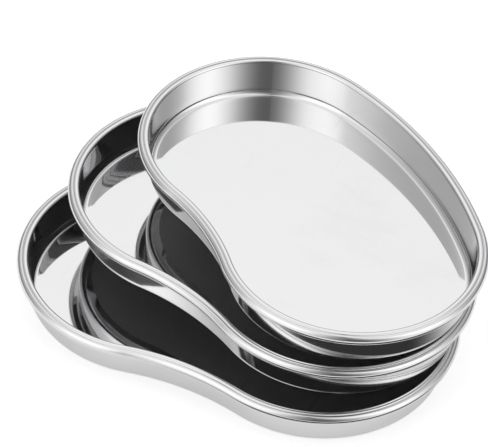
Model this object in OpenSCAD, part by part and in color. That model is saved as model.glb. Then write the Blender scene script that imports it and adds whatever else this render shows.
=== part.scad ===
// Stack of three pressed kidney dishes.
// Millimetres, +Z up. The long axis of the lower dish lies along X, its waist faces -Y,
// and the underside of its floor is at z = 0.

/* [Overall] */
// length of the lower dish over the rim
dish_length = 260; // [180:1:340]
// width of the lower dish over the rim, lobe to back
dish_width = 166; // [130:1:220]
// height of every dish, underside of the floor to the top of the rim
dish_height = 24.6; // [16:0.1:45]
// outline of the middle dish, as a share of the lower one
middle_scale = 0.985; // [0.8:0.005:1]
// outline of the upper dish, as a share of the lower one
upper_scale = 0.94; // [0.8:0.005:1]

/* [Outline] */
// radius of the two end lobes, at the inside of the wall
lobe_radius = 72.8; // [55:0.1:74]
// how far the waist is set back from the line across the two lobes
waist_depth = 5.8; // [2:0.1:20]

/* [Sheet] */
// thickness of the sheet
sheet = 0.8; // [0.5:0.05:1.5]
// inside radius between the floor and the wall
floor_radius = 4; // [2:0.1:8]
// lean of the wall outward from upright
wall_draft = 1.5; // [0.5:0.1:6]

/* [Rim] */
// width of the rim, inside of the wall to its outer edge
rim_width = 6.5; // [5:0.1:10]
// radius of the outside of the bend where the wall turns out into the rim
rim_inner_bend = 1.4; // [1.1:0.1:2.5]
// radius of the outside of the bend where the rim turns down
rim_outer_bend = 2.8; // [1.6:0.1:4]
// how far the outer bend is turned, 90 is straight down
rim_turn = 104; // [90:1:130]
// length of the straight lip past the outer bend
rim_lip = 0.7; // [0.3:0.1:2]

/* [Stack] */
// play between a dish's underside and the rim it stands on
rest_gap = 0.05; // [0.02:0.01:0.3]
// how far the middle dish is turned on the lower one
middle_turn = 17; // [0:1:60]
// how far the middle dish is moved along X
middle_shift_x = 7.7; // [-40:0.1:40]
// how far the middle dish is moved along Y
middle_shift_y = 26.5; // [-40:0.1:40]
// how far the upper dish is turned on the middle one
upper_turn = 19.6; // [0:0.1:60]
// how far the upper dish is moved along X, from the middle one
upper_shift_x = 17.2; // [-40:0.1:40]
// how far the upper dish is moved along Y, from the middle one
upper_shift_y = 14.7; // [-40:0.1:40]

/* [Display] */
// which sub-part to draw

/* [Hidden] */
$fn = 96;

steel = [0.80, 0.81, 0.82];

pitch = dish_height + rest_gap;

// outline of the lower dish at the inside of the wall: a back arc, two lobe arcs and
// a hollow waist arc, each tangent to the next
lobe_x = dish_length / 2 - rim_width - lobe_radius;
back_rise = dish_width - 2 * rim_width - lobe_radius;
waist_y = waist_depth - lobe_radius;

// radii are kept to a thousandth, and a place is moved in a coarse and a fine step,
// so that neighbouring arcs meet exactly
function neat(v) = round(v * 1000) / 1000;
function coarse(v) = [for (x = v) floor(x * 100) / 100];

function lobe_r(k) = neat(k * lobe_radius);
function back_r(k) = neat(k * (lobe_x * lobe_x + back_rise * back_rise - lobe_radius * lobe_radius)
                          / (2 * (back_rise - lobe_radius)));
function waist_r(k) = neat(k * (lobe_x * lobe_x + waist_y * waist_y - lobe_radius * lobe_radius)
                           / (2 * waist_depth));
// centres: the lobes, and the arcs tangent to both of them
function lobe_c(k) = [k * lobe_x, -k * (back_rise - lobe_radius) / 2];
function back_c(k) = [0, lobe_c(k)[1] - sqrt(pow(back_r(k) - lobe_r(k), 2) - pow(lobe_c(k)[0], 2))];
function waist_c(k) = [0, lobe_c(k)[1] - sqrt(pow(waist_r(k) + lobe_r(k), 2) - pow(lobe_c(k)[0], 2))];

// section of the sheet, x outward from the outline and y up from the underside
bend_in = [rim_inner_bend, dish_height - rim_inner_bend];
bend_out = [rim_width - rim_outer_bend, dish_height - rim_outer_bend];
corner_r = floor_radius + sheet;
// the wall is tangent to the bend into the rim and to the floor corner
wall_len = (bend_in[1] - corner_r + (rim_inner_bend + floor_radius) * sin(wall_draft)) / cos(wall_draft);
corner = [bend_in[0] - (rim_inner_bend + floor_radius) * cos(wall_draft) - wall_len * sin(wall_draft),
          corner_r];
lip_angle = 90 - rim_turn;
// the section starts with a strip of the floor, and the floor plate ends halfway over it
floor_strip = 2;
bend_steps = 10;

function arc(c, r, a, b) = [for (i = [0 : bend_steps])
    let (t = a + (b - a) * i / bend_steps) c + r * [cos(t), sin(t)]];
// one face of the sheet from the floor to the lip; r is the radius it has in each bend
function face(rc, ri, ro) = concat(
    [[corner[0] - floor_strip, corner[1] - rc]],
    arc(corner, rc, -90, -wall_draft),
    arc(bend_in, ri, 180 - wall_draft, 90),
    arc(bend_out, ro, 90, lip_angle),
    [bend_out + ro * [cos(lip_angle), sin(lip_angle)] + rim_lip * [sin(lip_angle), -cos(lip_angle)]]);
function turned(v) = [for (i = [len(v) - 1 : -1 : 0]) v[i]];

module section() {
    polygon(concat(face(floor_radius, rim_inner_bend, rim_outer_bend),
                   turned(face(corner_r, rim_inner_bend - sheet, rim_outer_bend - sheet))));
}

// the section turned right round the centre c, with the outline at radius r;
// hollow turns it over, for an arc that bends the other way
module ring(c, r, hollow = false) {
    translate(concat(coarse(c), 0))
        translate(concat(c - coarse(c), 0))
            rotate_extrude()
                translate([r, 0])
                    mirror([hollow ? 1 : 0, 0])
                        section();
}

// keeps what stands over a flat shape
module over(points) {
    intersection() {
        children();
        translate([0, 0, -1])
            linear_extrude(dish_height + 2)
                polygon(points);
    }
}

// one pressed dish, k is the share of the lower outline it keeps
module dish(k) {
    rl = lobe_r(k);
    rb = back_r(k);
    rw = waist_r(k);
    cl = lobe_c(k);
    cb = back_c(k);
    cw = waist_c(k);
    cr = [-cl[0], cl[1]];
    // the seams between the arcs run from a lobe's centre out past the back, and to the waist's centre
    far = 1.5 * rb;
    out_l = cb + far * (cl - cb) / norm(cl - cb);
    out_r = [-out_l[0], out_l[1]];
    side = out_l[0] + 3 * rl;
    union() {
        over([cl, out_l, [side, out_l[1]], [side, cw[1]], cw]) ring(cl, rl);
        over([cr, cw, [-side, cw[1]], [-side, out_r[1]], out_r]) ring(cr, rl);
        over([cl, out_l, out_l + [0, far], out_r + [0, far], out_r, cr]) ring(cb, rb);
        over([cl, cr, cw]) ring(cw, rw, hollow = true);
        // floor plate
        linear_extrude(sheet) {
            translate(cl) circle(r = rl + corner[0] - floor_strip / 2);
            translate(cr) circle(r = rl + corner[0] - floor_strip / 2);
            difference() {
                intersection() {
                    polygon([cl, out_l, out_l + [0, far], out_r + [0, far], out_r, cr, cw]);
                    translate(cb) circle(r = rb + corner[0] - 0.7 * floor_strip);
                }
                translate(cw) circle(r = rw - corner[0] + 0.7 * floor_strip);
            }
        }
    }
}

module lower_dish() {
    color(steel) dish(1);
}

module middle_dish() {
    color(steel)
        translate([middle_shift_x, middle_shift_y, pitch])
            rotate([0, 0, -middle_turn])
                dish(middle_scale);
}

module upper_dish() {
    color(steel)
        translate([middle_shift_x + upper_shift_x, middle_shift_y + upper_shift_y, 2 * pitch])
            rotate([0, 0, -middle_turn - upper_turn])
                dish(upper_scale);
}

lower_dish();
middle_dish();
upper_dish();
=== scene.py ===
import math

import bpy
from mathutils import Matrix, Vector


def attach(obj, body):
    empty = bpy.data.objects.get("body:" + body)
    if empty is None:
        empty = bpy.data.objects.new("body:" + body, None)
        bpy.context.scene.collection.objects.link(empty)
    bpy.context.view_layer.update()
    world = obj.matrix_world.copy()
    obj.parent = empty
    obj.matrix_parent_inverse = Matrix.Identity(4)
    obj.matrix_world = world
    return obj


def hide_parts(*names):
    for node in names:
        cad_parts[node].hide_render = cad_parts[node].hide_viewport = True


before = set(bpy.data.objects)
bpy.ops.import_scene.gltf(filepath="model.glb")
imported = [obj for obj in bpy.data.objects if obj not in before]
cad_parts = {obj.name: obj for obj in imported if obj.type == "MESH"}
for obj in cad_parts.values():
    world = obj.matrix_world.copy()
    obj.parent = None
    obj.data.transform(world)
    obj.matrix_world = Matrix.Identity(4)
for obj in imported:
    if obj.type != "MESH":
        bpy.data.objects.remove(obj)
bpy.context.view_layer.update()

MM = 0.001
DEGREES = 180 / math.pi     # in one radian

# ------------------------------------------------------------------ sizes of the pressing
PRESSING = {
    "Length": 260 * MM,
    "Width": 166 * MM,
    "Height": 24.6 * MM,
    "Lobe Radius": 72.8 * MM,
    "Waist Depth": 5.8 * MM,
    "Sheet": 0.8 * MM,
    "Floor Radius": 4 * MM,
    "Wall Draft": math.radians(1.5),
    "Rim Width": 6.5 * MM,
    "Rim Inner Bend": 1.4 * MM,
    "Rim Outer Bend": 2.8 * MM,
    "Rim Turn": math.radians(104),
    "Rim Lip": 0.7 * MM,
    "Edge Round": 0.3 * MM,
    "Crease Width": 0.55 * MM,
    "Crease Depth": 0.16 * MM,
}
# share of the outline, turn, and place of each dish of the stack
PITCH = 24.65 * MM
STACK = {
    "lower": (1.0, 0.0, (0.0, 0.0, 0.0)),
    "middle": (0.985, math.radians(-17), (7.7 * MM, 26.5 * MM, PITCH)),
    "upper": (0.94, math.radians(-36.6), (24.9 * MM, 41.2 * MM, 2 * PITCH)),
}
AROUND = 480          # steps round the outline
PER_BEND = 8          # steps in each bend of the section
SEAM = 0.001 * MM     # points nearer than this are one point


# ------------------------------------------------------------------ arithmetic in node trees
class Number:
    """A number in a node tree. Plain arithmetic on it adds the nodes."""

    def __init__(self, tree, socket):
        self.tree, self.socket = tree, socket

    def made(self, operation, *values):
        node = self.tree.nodes.new("ShaderNodeMath")
        node.operation = operation
        for into, value in zip(node.inputs, values):
            feed(self.tree, into, value)
        return Number(self.tree, node.outputs[0])

    def __add__(self, other):
        return self.made("ADD", self, other)

    def __sub__(self, other):
        return self.made("SUBTRACT", self, other)

    def __rsub__(self, other):
        return self.made("SUBTRACT", other, self)

    def __mul__(self, other):
        return self.made("MULTIPLY", self, other)

    def __truediv__(self, other):
        return self.made("DIVIDE", self, other)

    def __neg__(self):
        return self.made("MULTIPLY", self, -1.0)

    def floor(self):
        return self.made("FLOOR", self)

    def root(self):
        return self.made("SQRT", self)

    def sin(self):
        return self.made("SINE", self)

    def cos(self):
        return self.made("COSINE", self)

    def arcsine(self):
        return self.made("ARCSINE", self)

    def sign(self):
        return self.made("SIGN", self)

    def angle_over(self, other):
        return self.made("ARCTAN2", self, other)

    def past(self, other):
        return self.made("GREATER_THAN", self, other)

    def short_of(self, other):
        return self.made("LESS_THAN", self, other)

    def at_least(self, other):
        return self.made("MAXIMUM", self, other)

    def at_most(self, other):
        return self.made("MINIMUM", self, other)


def feed(tree, into, value):
    """Links a node's input to what feeds it, or sets it."""
    if isinstance(value, Number):
        value = value.socket
    if isinstance(value, bpy.types.NodeSocket):
        tree.links.new(value, into)
    else:
        into.default_value = value


def node(tree, kind, settings=None, **values):
    """A node with its settings, and its inputs fed by name."""
    made = tree.nodes.new(kind)
    for name, value in (settings or {}).items():
        setattr(made, name, value)
    for name, value in values.items():
        feed(tree, made.inputs[name.replace("_", " ")], value)
    return made


def choose(tree, which, values):
    """One of several numbers, by a whole number that counts from 0."""
    pick = tree.nodes.new("GeometryNodeIndexSwitch")
    pick.data_type = "FLOAT"
    while len(pick.index_switch_items) < len(values):
        pick.index_switch_items.new()
    feed(tree, pick.inputs[0], which)
    for into, value in zip(pick.inputs[1:], values):
        feed(tree, into, value)
    return Number(tree, pick.outputs[0])


def between(tree, value, none, full, ease="LINEAR"):
    """0 where the value is at `none`, 1 where it is at `full`, and in between from one to the other."""
    made = node(tree, "ShaderNodeMapRange", {"interpolation_type": ease},
                Value=value, From_Min=none, From_Max=full)
    return Number(tree, made.outputs[0])


# ------------------------------------------------------------------ the pressing, as a tree
def outline(tree, given):
    """What gives a point round the outline: two lobe arcs, the back arc and the waist arc."""
    rim_width = given["Rim Width"]
    lobe = given["Lobe Radius"]
    waist = given["Waist Depth"]
    share = given["Outline Share"]
    lobe_x = given["Length"] * 0.5 - rim_width - lobe
    rise = given["Width"] - rim_width * 2.0 - lobe
    dip = waist - lobe
    square = lobe_x * lobe_x - lobe * lobe
    # radii, and centres from which each arc is tangent to the next
    lobe_r = share * lobe
    back_r = share * (square + rise * rise) / ((rise - lobe) * 2.0)
    waist_r = share * (square + dip * dip) / (waist * 2.0)
    centre_x = share * lobe_x
    centre_y = share * (rise - lobe) * -0.5
    back_gap = back_r - lobe_r
    waist_gap = waist_r + lobe_r
    back_y = centre_y - (back_gap * back_gap - centre_x * centre_x).root()
    waist_y = centre_y - (waist_gap * waist_gap - centre_x * centre_x).root()
    back_angle = (centre_y - back_y).angle_over(centre_x)
    waist_angle = (centre_y - waist_y).angle_over(centre_x)
    # how far round the outline each arc ends
    lobe_run = lobe_r * (math.pi - waist_angle + back_angle)
    to_back = lobe_run
    to_left = to_back + back_r * (math.pi - back_angle * 2.0)
    to_waist = to_left + lobe_run
    whole = to_waist + waist_r * (math.pi - waist_angle * 2.0)

    def around(step, x, y):
        """The point at one step round the outline, x outward from it and y up."""
        run = whole * step / given["Steps Around"]
        arc = run.past(to_back) + run.past(to_left) + run.past(to_waist)
        angle = choose(tree, arc, [
            waist_angle - math.pi + run / lobe_r,
            back_angle + (run - to_back) / back_r,
            math.pi - back_angle + (run - to_left) / lobe_r,
            math.pi - waist_angle - (run - to_waist) / waist_r])
        reach = choose(tree, arc, [lobe_r + x, back_r + x, lobe_r + x, waist_r - x])
        from_x = choose(tree, arc, [centre_x, 0.0, -centre_x, 0.0])
        from_y = choose(tree, arc, [centre_y, back_y, centre_y, waist_y])
        point = node(tree, "ShaderNodeCombineXYZ",
                     X=from_x + reach * angle.cos(), Y=from_y + reach * angle.sin(), Z=y)
        return point.outputs[0]

    return around


STRIP = 3 * MM          # floor that goes with the corner
HOLD = 0.25 * MM        # flat kept beside a bend, so that its shading ends there
TOUCH = 0.02 * MM       # flat beside the small bends of the sheet's edge


def section(tree, given, index):
    """The sheet's section at a point of the band: how far round it is, and its x outward and y up.

    It has the bends of the inside face from the floor to the lip, with a crease struck between
    the rim's flat and its roll, the two rounded corners of the sheet's edge, and the bends of
    the underside back to the floor.
    """
    sheet = given["Sheet"]
    height = given["Height"]
    draft = given["Wall Draft"]
    inner = given["Rim Inner Bend"]
    outer = given["Rim Outer Bend"]
    floor_radius = given["Floor Radius"]
    edge = given["Edge Round"]
    quarter = math.pi / 2
    lip = quarter - given["Rim Turn"]
    corner_r = floor_radius + sheet
    bend_y = height - inner
    wall = (bend_y - corner_r + (inner + floor_radius) * draft.sin()) / draft.cos()
    corner_x = inner - (inner + floor_radius) * draft.cos() - wall * draft.sin()
    out_x = given["Rim Width"] - outer
    out_y = height - outer
    along_x, along_y = lip.cos(), lip.sin()
    lip_end = given["Rim Lip"] - edge
    edge_x = out_x + (outer - edge) * along_x + lip_end * along_y
    edge_y = out_y + (outer - edge) * along_y - lip_end * along_x
    back_edge_x = out_x + (outer - sheet + edge) * along_x + lip_end * along_y
    back_edge_y = out_y + (outer - sheet + edge) * along_y - lip_end * along_x
    # a crease is a shallow arc whose ends lie on the flat
    crease = given["Crease Width"] * 0.5
    sink = given["Crease Depth"]
    crease_r = (crease * crease + sink * sink) / (sink * 2.0)
    crease_half = crease.angle_over(crease_r - sink)
    crease_y = height + crease_r - sink
    crease_x = out_x - crease
    centre_xs = [corner_x, inner, crease_x, out_x, edge_x, back_edge_x, out_x, inner, corner_x]
    centre_ys = [corner_r, bend_y, crease_y, out_y, edge_y, back_edge_y, out_y, bend_y, corner_r]
    radii = [floor_radius, inner, crease_r, outer, edge, edge, outer - sheet, inner - sheet, corner_r]
    starts = [-quarter, math.pi - draft, -quarter - crease_half, quarter,
              lip, lip - quarter, lip, quarter, -draft]
    ends = [-draft, quarter, crease_half - quarter, lip,
            lip - quarter, lip - math.pi, quarter, math.pi - draft, -quarter]
    leads_in = [STRIP, HOLD, 0.0, 0.0, TOUCH, TOUCH, TOUCH, HOLD, HOLD]
    leads_out = [HOLD, HOLD, 0.0, TOUCH, TOUCH, TOUCH, HOLD, HOLD, STRIP]

    # a bend has a point at each end of its steps, and one more on the flat before and after it
    bend_points = given["Steps Per Bend"] + 3.0
    section_points = bend_points * float(len(radii))
    step = (index / section_points).floor()
    place = index - step * section_points
    bend = (place / bend_points).floor()
    count = place - bend * bend_points
    part = ((count - 1.0) / given["Steps Per Bend"]).at_least(0.0).at_most(1.0)
    start = choose(tree, bend, starts)
    sweep = choose(tree, bend, ends) - start
    radius = choose(tree, bend, radii)
    angle = start + sweep * part
    lead = (count.past(bend_points - 1.5) * choose(tree, bend, leads_out)
            - count.short_of(0.5) * choose(tree, bend, leads_in)) * sweep.sign()
    section_x = choose(tree, bend, centre_xs) + radius * angle.cos() - lead * angle.sin()
    section_y = choose(tree, bend, centre_ys) + radius * angle.sin() + lead * angle.cos()
    return step, section_x, section_y, section_points, corner_x - STRIP


def pressing_tree():
    """The dish from its sizes: a band of the section run round the outline, and the floor's flats."""
    tree = bpy.data.node_groups.new("Kidney dish pressing", "GeometryNodeTree")
    face = tree.interface
    face.new_socket("Geometry", in_out="OUTPUT", socket_type="NodeSocketGeometry")
    for name in PRESSING:
        face.new_socket(name, in_out="INPUT", socket_type="NodeSocketFloat")
    face.new_socket("Outline Share", in_out="INPUT", socket_type="NodeSocketFloat")
    face.new_socket("Steps Around", in_out="INPUT", socket_type="NodeSocketInt")
    face.new_socket("Steps Per Bend", in_out="INPUT", socket_type="NodeSocketInt")
    face.new_socket("Turn", in_out="INPUT", socket_type="NodeSocketVector")
    face.new_socket("Place", in_out="INPUT", socket_type="NodeSocketVector")
    face.new_socket("Finish", in_out="INPUT", socket_type="NodeSocketMaterial")
    face.new_socket("Base Finish", in_out="INPUT", socket_type="NodeSocketMaterial")
    entry = tree.nodes.new("NodeGroupInput")
    given = {s.name: Number(tree, s) for s in entry.outputs if s.name}

    around = outline(tree, given)
    index = Number(tree, tree.nodes.new("GeometryNodeInputIndex").outputs[0])
    step, section_x, section_y, section_points, floor_x = section(tree, given, index)
    band = node(tree, "GeometryNodeMeshGrid",
                Vertices_X=given["Steps Around"] + 1.0, Vertices_Y=section_points)
    band = node(tree, "GeometryNodeSetPosition",
                Geometry=band.outputs[0], Position=around(step, section_x, section_y))
    band = node(tree, "GeometryNodeFlipFaces", Mesh=band.outputs[0])
    band = node(tree, "GeometryNodeSetMaterial", Geometry=band.outputs[0], Material=given["Finish"])

    def flat(height):
        """The flat of the floor at one height, facing up."""
        disc = node(tree, "GeometryNodeMeshCircle", {"fill_type": "NGON"}, Vertices=given["Steps Around"])
        return node(tree, "GeometryNodeSetPosition",
                    Geometry=disc.outputs[0], Position=around(index, floor_x, height))

    inside = node(tree, "GeometryNodeSetMaterial",
                  Geometry=flat(given["Sheet"]).outputs[0], Material=given["Finish"])
    base = node(tree, "GeometryNodeFlipFaces", Mesh=flat(0.0).outputs[0])
    base = node(tree, "GeometryNodeSetMaterial", Geometry=base.outputs[0], Material=given["Base Finish"])

    joined = tree.nodes.new("GeometryNodeJoinGeometry")
    for piece in (band, inside, base):
        tree.links.new(piece.outputs[0], joined.inputs[0])
    whole_skin = node(tree, "GeometryNodeMergeByDistance", Geometry=joined.outputs[0], Distance=SEAM)
    placed = node(tree, "GeometryNodeTransform", Geometry=whole_skin.outputs[0],
                  Translation=given["Place"], Rotation=given["Turn"])
    smooth = node(tree, "GeometryNodeSetShadeSmooth", Geometry=placed.outputs[0])
    real = node(tree, "GeometryNodeRealizeInstances", Geometry=smooth.outputs[0])
    # the underside's flat keeps the base finish, and the rest takes the steel's
    bare = node(tree, "GeometryNodeMaterialSelection", Material=given["Base Finish"])
    rest = node(tree, "FunctionNodeBooleanMath", {"operation": "NOT"})
    tree.links.new(bare.outputs[0], rest.inputs[0])
    finished = node(tree, "GeometryNodeSetMaterial", Geometry=real.outputs[0],
                    Selection=rest.outputs[0], Material=given["Finish"])
    leave = tree.nodes.new("NodeGroupOutput")
    tree.links.new(finished.outputs[0], leave.inputs[0])
    return tree


def pressed(tree, name, values):
    """A plain mesh piece made by the tree with these values."""
    seed = bpy.data.objects.new(name + "_blank", bpy.data.meshes.new(name + "_blank"))
    bpy.context.scene.collection.objects.link(seed)
    press = seed.modifiers.new("Press", "NODES")
    press.node_group = tree
    for item in tree.interface.items_tree:
        if item.item_type == "SOCKET" and item.in_out == "INPUT" and item.name in values:
            press[item.identifier] = values[item.name]
    graph = bpy.context.evaluated_depsgraph_get()
    mesh = bpy.data.meshes.new_from_object(seed.evaluated_get(graph), depsgraph=graph)
    mesh.name = name
    for slot in reversed(range(len(mesh.materials))):
        if mesh.materials[slot] is None:
            mesh.materials.pop(index=slot)
    seed.modifiers.remove(press)
    bpy.data.objects.remove(seed)
    piece = bpy.data.objects.new(name, mesh)
    bpy.context.scene.collection.objects.link(piece)
    return piece


# ------------------------------------------------------------------ finishes
def handling_marks():
    """Shared wear of polished steel: a slight wave of the sheet, hairlines and smudges."""
    group = bpy.data.node_groups.new("Handling marks", "ShaderNodeTree")
    face = group.interface
    for name in ("Polish", "Smudge", "Hairline", "Wave"):
        face.new_socket(name, in_out="INPUT", socket_type="NodeSocketFloat")
    face.new_socket("Steel", in_out="INPUT", socket_type="NodeSocketColor")
    face.new_socket("Color", in_out="OUTPUT", socket_type="NodeSocketColor")
    face.new_socket("Roughness", in_out="OUTPUT", socket_type="NodeSocketFloat")
    face.new_socket("Height", in_out="OUTPUT", socket_type="NodeSocketFloat")
    entry = group.nodes.new("NodeGroupInput")
    given = {s.name: Number(group, s) for s in entry.outputs if s.name}
    where = group.nodes.new("ShaderNodeTexCoord").outputs["Object"]

    def noise(scale, detail, roughness=0.5, stretch=(1, 1, 1), turn=0.0):
        laid = node(group, "ShaderNodeMapping", Vector=where)
        laid.inputs["Scale"].default_value = stretch
        laid.inputs["Rotation"].default_value = (0, 0, turn)
        made = node(group, "ShaderNodeTexNoise", Vector=laid.outputs[0], Scale=scale,
                    Detail=detail, Roughness=roughness)
        return Number(group, made.outputs["Fac"])

    def over(value, low, high):
        return between(group, value, low, high, "SMOOTHSTEP")

    # hairlines: long thin noise laid in three directions, only its crests kept
    lines = None
    for turn in (0.35, 1.7, 2.6):
        crest = over(noise(420, 2, 0.55, (1.0, 0.022, 0.3), turn), 0.66, 0.78)
        lines = crest if lines is None else lines.at_least(crest)
    patch = over(noise(23, 3), 0.42, 0.62)
    lines = lines * patch
    # smudges: soft wiped patches
    smudge = over(noise(15, 4, 0.62, (1, 1.7, 1), 0.6), 0.5, 0.74)
    fine = noise(900, 3, 0.6)
    roughness = given["Polish"] + given["Smudge"] * smudge + given["Hairline"] * lines + fine * 0.012
    # the sheet is never quite flat after pressing
    swell = noise(11, 1, 0.4) + noise(34, 1, 0.4) * 0.22
    height = swell * given["Wave"] - lines * given["Hairline"] * 0.00001 + fine * 0.0000002
    tone = 1.0 - smudge * given["Smudge"] * 0.6 - lines * given["Hairline"] * 0.5
    shade = node(group, "ShaderNodeMix", {"data_type": "RGBA", "blend_type": "MULTIPLY"})
    shade.inputs[0].default_value = 1.0
    feed(group, shade.inputs[6], given["Steel"])
    grey = node(group, "ShaderNodeCombineColor", Red=tone, Green=tone, Blue=tone)
    feed(group, shade.inputs[7], grey.outputs[0])
    leave = group.nodes.new("NodeGroupOutput")
    feed(group, leave.inputs["Color"], shade.outputs[2])
    feed(group, leave.inputs["Roughness"], roughness)
    feed(group, leave.inputs["Height"], height)
    return group


def steel_finish(name, marks, steel, polish, smudge, hairline, wave):
    finish = bpy.data.materials.new(name)
    finish.use_nodes = True
    tree = finish.node_tree
    shader = tree.nodes["Principled BSDF"]
    shader.inputs["Metallic"].default_value = 1.0
    shader.inputs["Specular IOR Level"].default_value = 0.5
    marked = tree.nodes.new("ShaderNodeGroup")
    marked.node_tree = marks
    for field, value in (("Polish", polish), ("Smudge", smudge), ("Hairline", hairline),
                         ("Wave", wave), ("Steel", steel)):
        marked.inputs[field].default_value = value
    bump = tree.nodes.new("ShaderNodeBump")
    bump.inputs["Strength"].default_value = 1.0
    bump.inputs["Distance"].default_value = 1.0
    tree.links.new(marked.outputs["Height"], bump.inputs["Height"])
    tree.links.new(bump.outputs["Normal"], shader.inputs["Normal"])
    tree.links.new(marked.outputs["Color"], shader.inputs["Base Color"])
    tree.links.new(marked.outputs["Roughness"], shader.inputs["Roughness"])
    return finish


marks = handling_marks()
polished_steel = steel_finish("Polished steel", marks, (0.83, 0.83, 0.835, 1), 0.04, 0.05, 0.06, 0.00002)
scuffed_steel = steel_finish("Scuffed base steel", marks, (0.76, 0.76, 0.765, 1), 0.55, 0.10, 0.22, 0.00004)

# ------------------------------------------------------------------ the three dishes
def make_dish(tree, body, share, turn, place):
    """One dish of the stack, which stands for its solid and rides on its body."""
    values = dict(PRESSING)
    values["Outline Share"] = share
    values["Steps Around"] = AROUND
    values["Steps Per Bend"] = PER_BEND
    values["Turn"] = (0.0, 0.0, turn)
    values["Place"] = place
    values["Finish"] = polished_steel
    values["Base Finish"] = scuffed_steel
    dish = pressed(tree, body + "_dish_skin", values)
    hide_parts(body + "_dish")
    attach(dish, body)


pressing = pressing_tree()
for body, (share, turn, place) in STACK.items():
    make_dish(pressing, body, share, turn, place)


# ------------------------------------------------------------------ floor and card
FLOOR_HALF = 2.5
FLOOR_DROP = 0.2 * MM       # the floor lies this far under the lower dish
FLOOR_GLOW = 0.28           # light that the floor gives the steel
FLOOR_LIFT = 0.27           # and what it gives besides where it is looked at

LOBE = Vector((50.7, 3.7, 0.0)) * MM        # centre of the lower dish's right lobe
CARD_NEAR, CARD_FAR = 90 * MM, 260 * MM     # the card's edges, from there
CARD_Z = 1 * MM
CARD_FROM, CARD_STEP, CARD_SECTORS = -140, 6, 30      # degrees round the lobe


def plain_finish(name, grey):
    """A dull material of one grey, and its shader."""
    finish = bpy.data.materials.new(name)
    finish.use_nodes = True
    shader = finish.node_tree.nodes["Principled BSDF"]
    shader.inputs["Base Color"].default_value = (grey, grey, grey, 1)
    shader.inputs["Roughness"].default_value = 0.9
    return finish, shader


def laid_flat(name, points, faces, finish):
    """A flat piece of the studio."""
    mesh = bpy.data.meshes.new(name)
    mesh.from_pydata(points, [], faces)
    mesh.materials.append(finish)
    laid = bpy.data.objects.new(name, mesh)
    bpy.context.scene.collection.objects.link(laid)
    return laid


def studio_floor():
    paper, shader = plain_finish("Studio floor", 0.82)
    tree = paper.node_tree
    shader.inputs["Specular IOR Level"].default_value = 0.0
    shader.inputs["Emission Color"].default_value = (1, 1, 1, 1)
    looked_at = Number(tree, tree.nodes.new("ShaderNodeLightPath").outputs["Is Camera Ray"])
    feed(tree, shader.inputs["Emission Strength"], looked_at * FLOOR_LIFT + FLOOR_GLOW)
    corners = [(x * FLOOR_HALF, y * FLOOR_HALF, 0) for x, y in ((-1, -1), (1, -1), (1, 1), (-1, 1))]
    floor = laid_flat("studio_floor", corners, [(0, 1, 2, 3)], paper)
    floor.location.z = -FLOOR_DROP


def reflected_shade_card():
    """A dark card beside the right lobe, which only the steel sees.

    It is painted shade for the steel's reflections: the outer walls of the two raised dishes reflect it as
    dark, so they don't wash out.
    """
    # its near-black grey is painted shade, which only the steel's reflections show
    shade_card_finish, shader = plain_finish("Painted reflected shade", 0.03)
    tree = shade_card_finish.node_tree
    # it thins out towards its edges, so that no edge of it shows in the steel
    spot = node(tree, "ShaderNodeSeparateXYZ",
                Vector=tree.nodes.new("ShaderNodeTexCoord").outputs["Object"])
    off_x = Number(tree, spot.outputs[0]) - LOBE.x
    off_y = Number(tree, spot.outputs[1]) - LOBE.y
    out = (off_x * off_x + off_y * off_y).root()
    angle = off_y.angle_over(off_x) * DEGREES

    def fade(value, none, full):
        return between(tree, value, none, full, "SMOOTHERSTEP")

    cover = fade(out, 0.098, 0.116) * fade(out, 0.25, 0.15) * fade(angle, -136, -88) * fade(angle, 32, -24)
    feed(tree, shader.inputs["Alpha"], cover)
    ring = [math.radians(CARD_FROM + CARD_STEP * i) for i in range(CARD_SECTORS + 1)]
    corners = [(LOBE.x + reach * math.cos(turn), LOBE.y + reach * math.sin(turn), CARD_Z)
               for turn in ring for reach in (CARD_NEAR, CARD_FAR)]
    sectors = [(2 * i, 2 * i + 1, 2 * i + 3, 2 * i + 2) for i in range(CARD_SECTORS)]
    card = laid_flat("reflected_shade_card", corners, sectors, shade_card_finish)
    card.visible_camera = False
    card.visible_diffuse = False
    card.visible_shadow = False


studio_floor()
reflected_shade_card()

# ------------------------------------------------------------------ camera
AHEAD = Vector((-0.3824, 0.9240, 0.0))
RIGHT = Vector((AHEAD.y, -AHEAD.x, 0.0))
ELEVATION = math.radians(43.08)
ROLL = math.radians(3.72)
LOOK_AT = Vector((-27.7, 67.9, 0.0)) * MM
DISTANCE = 1374.3 * MM


def set_camera():
    look = AHEAD * math.cos(ELEVATION) - Vector((0, 0, math.sin(ELEVATION)))
    up = RIGHT.cross(look)
    across = math.cos(ROLL) * RIGHT + math.sin(ROLL) * up
    upward = -math.sin(ROLL) * RIGHT + math.cos(ROLL) * up
    lens = bpy.data.cameras.new("camera")
    lens.sensor_width = 36
    lens.sensor_fit = "HORIZONTAL"
    lens.lens = 170.3
    camera = bpy.data.objects.new("camera", lens)
    turned = Matrix((across, upward, -look)).transposed().to_4x4()
    camera.matrix_world = Matrix.Translation(LOOK_AT - look * DISTANCE) @ turned
    bpy.context.scene.collection.objects.link(camera)
    bpy.context.scene.camera = camera


set_camera()

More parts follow.
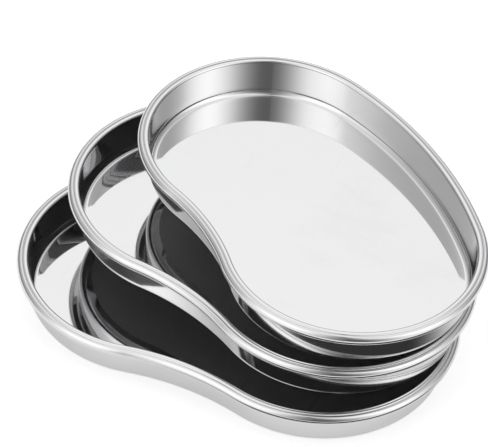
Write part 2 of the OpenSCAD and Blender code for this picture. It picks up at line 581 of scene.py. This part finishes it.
# ------------------------------------------------------------------ studio light
# light by bearing, in degrees to the right of straight ahead: the room's walls, and the
# slope above them
WALLS = [(-180, 0.13), (-168, 0.38), (-156, 0.85), (-144, 1.3), (-126, 1.48), (-108, 1.3), (-96, 0.92),
         (-84, 0.57), (-60, 0.48), (-40, 0.5), (-27, 0.8), (-12, 1.09), (0, 1.12), (14, 1.09), (28, 0.84),
         (42, 0.44), (64, 0.42), (82, 0.66), (95, 1.15), (110, 1.52), (124, 1.48), (138, 1.0),
         (150, 0.5), (162, 0.18), (172, 0.1), (180, 0.13)]
SLOPE = [(-180, 0.25), (-164, 0.45), (-146, 1.05), (-108, 1.25), (-84, 1.12), (-60, 0.85), (-36, 0.98),
         (-12, 1.08), (12, 1.08), (36, 0.95), (60, 0.9), (84, 1.0), (108, 1.15), (140, 1.05),
         (162, 0.45), (180, 0.25)]
# by rise above the floor, in degrees: where the slope takes over from the walls, and its softer top
SLOPING = [(-90, 0.0), (46, 0.0), (58, 1.0), (90, 1.0)]
CEILING = [(-90, 1.0), (66, 1.0), (84, 0.75), (90, 0.75)]
# how much dimmer the room is low down, by rise and by bearing, which draws the far edge of each bend
DIM = [(-90, 0.82), (12, 0.82), (35, 0.0), (90, 0.0)]
DIM_AHEAD = [(-180, 0.3), (-100, 0.3), (-72, 1.0), (72, 1.0), (100, 0.3), (180, 0.3)]
RAMP_TOP = 2.0      # a ramp's colours stop at 1, so it holds the light divided by this


def ramp(tree, value, stops):
    """Light by a value, from stops of (value, light)."""
    low, high = stops[0][0], stops[-1][0]
    made = tree.nodes.new("ShaderNodeValToRGB")
    made.color_ramp.interpolation = "B_SPLINE"
    made.color_ramp.elements.remove(made.color_ramp.elements[1])
    for number, (stop, light) in enumerate(stops):
        place = (stop - low) / (high - low)
        element = made.color_ramp.elements[0] if number == 0 else made.color_ramp.elements.new(place)
        element.position = place
        element.color = (light / RAMP_TOP, light / RAMP_TOP, light / RAMP_TOP, 1)
    feed(tree, made.inputs[0], between(tree, value, low, high))
    grey = node(tree, "ShaderNodeSeparateColor", Color=made.outputs[0])
    return Number(tree, grey.outputs[0]) * RAMP_TOP


def studio_light():
    world = bpy.data.worlds.new("studio")
    bpy.context.scene.world = world
    world.use_nodes = True
    tree = world.node_tree
    way = node(tree, "ShaderNodeSeparateXYZ",
               Vector=tree.nodes.new("ShaderNodeTexCoord").outputs["Generated"])
    way_x, way_y, way_z = (Number(tree, s) for s in way.outputs)
    ahead = way_x * AHEAD.x + way_y * AHEAD.y
    aside = way_x * RIGHT.x + way_y * RIGHT.y
    bearing = aside.angle_over(ahead) * DEGREES
    rise = way_z.arcsine() * DEGREES

    sloping = ramp(tree, rise, SLOPING)
    dim = ramp(tree, rise, DIM) * ramp(tree, bearing, DIM_AHEAD)
    walls = ramp(tree, bearing, WALLS) * (1.0 - dim)
    slope = ramp(tree, bearing, SLOPE) * ramp(tree, rise, CEILING)
    # light that has gone from dish to dish three or four times comes back weak, and light
    # that has gone further a little less so
    passes = tree.nodes.new("ShaderNodeLightPath").outputs["Ray Depth"]
    weak = between(tree, passes, 3.0, 4.0) * 0.85 - between(tree, passes, 5.0, 7.0) * 0.6
    light = (walls * (1.0 - sloping) + slope * sloping) * (1.0 - weak)
    background = tree.nodes["Background"]
    grey = node(tree, "ShaderNodeCombineColor", Red=light, Green=light, Blue=light)
    feed(tree, background.inputs["Color"], grey.outputs[0])
    background.inputs["Strength"].default_value = 1.0


studio_light()
view = bpy.context.scene.view_settings
view.view_transform = "Standard"
view.look = "None"
# dishes face each other like mirrors, so light has to be followed further than usual
MOST_BOUNCES = 20
bpy.context.scene.cycles.max_bounces = MOST_BOUNCES
bpy.context.scene.cycles.glossy_bounces = MOST_BOUNCES
